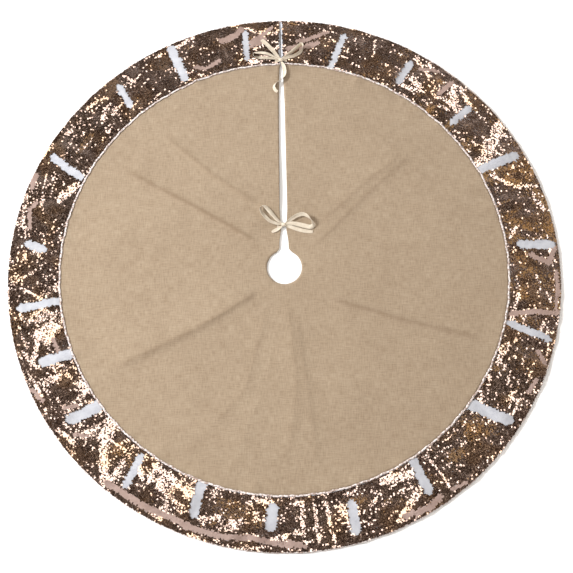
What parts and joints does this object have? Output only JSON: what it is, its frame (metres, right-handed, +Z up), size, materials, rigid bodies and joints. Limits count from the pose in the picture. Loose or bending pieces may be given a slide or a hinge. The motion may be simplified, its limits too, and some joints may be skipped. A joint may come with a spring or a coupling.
{
  "type": "tree skirt",
  "caption": "Round burlap tree skirt lying flat, with a wide sequinned border, a trunk hole and a slit tied shut with ribbon bows.",
  "frame": {"origin": "centre of the trunk hole, on the floor under the lining", "axes": "+Z up; +Y from the trunk hole along the slit to the rim; +X to the right, seen from above with the slit at the top"},
  "size_m": [1.22, 1.22, 0.0127],
  "materials": {
    "burlap": "natural tan plain-weave burlap, matt",
    "lining": "thin off-white woven lining, matt",
    "band_cloth": "pale lavender-white knit base cloth of the sequin border, matt",
    "sequins": "5 mm reversible sequins, mirror-bright rose-brown on one side and matt blush pink on the other",
    "trim": "narrow pale blush trim, stitched down",
    "hem": "rolled blush hem edge",
    "ribbon": "cream satin ribbon with a soft sheen"
  },
  "bodies": {
    "front_half": {"lining_front": "lining", "burlap_front": "burlap", "band_cloth_front": "band_cloth", "seam_trim_front": "trim", "hem_front": "hem", "sequin_panel_13": "sequins", "sequin_panel_14": "sequins", "sequin_panel_15": "sequins", "sequin_panel_16": "sequins", "sequin_panel_17": "sequins", "sequin_panel_18": "sequins", "sequin_panel_19": "sequins", "sequin_panel_20": "sequins", "sequin_panel_21": "sequins", "sequin_panel_22": "sequins", "sequin_panel_23": "sequins"},
    "back_half": {"lining_back_left": "lining", "lining_back_right": "lining", "burlap_back_left": "burlap", "burlap_back_right": "burlap", "band_cloth_back_left": "band_cloth", "band_cloth_back_right": "band_cloth", "seam_trim_back_left": "trim", "seam_trim_back_right": "trim", "hem_back_left": "hem", "hem_back_right": "hem", "sequin_panel_01": "sequins", "sequin_panel_02": "sequins", "sequin_panel_03": "sequins", "sequin_panel_04": "sequins", "sequin_panel_05": "sequins", "sequin_panel_06": "sequins", "sequin_panel_07": "sequins", "sequin_panel_08": "sequins", "sequin_panel_09": "sequins", "sequin_panel_10": "sequins", "sequin_panel_11": "sequins", "sequin_panel_12": "sequins", "inner_bow_knot": "ribbon", "inner_bow_tie_left": "ribbon", "inner_bow_tie_right": "ribbon", "inner_bow_tail_left": "ribbon", "inner_bow_tail_right": "ribbon", "inner_bow_loop_left": "ribbon", "inner_bow_loop_right": "ribbon", "outer_bow_knot": "ribbon", "outer_bow_tie_left": "ribbon", "outer_bow_tie_right": "ribbon", "outer_bow_tail_left": "ribbon", "outer_bow_tail_right": "ribbon", "outer_bow_loop_left": "ribbon", "outer_bow_loop_right": "ribbon"}
  },
  "joints": [
    {"name": "storage_fold", "type": "hinge", "parent": "front_half", "child": "back_half", "pos_m": [0, 0, 0.005], "axis": [1, 0, 0], "range_deg": [0, 165]}
  ]
}
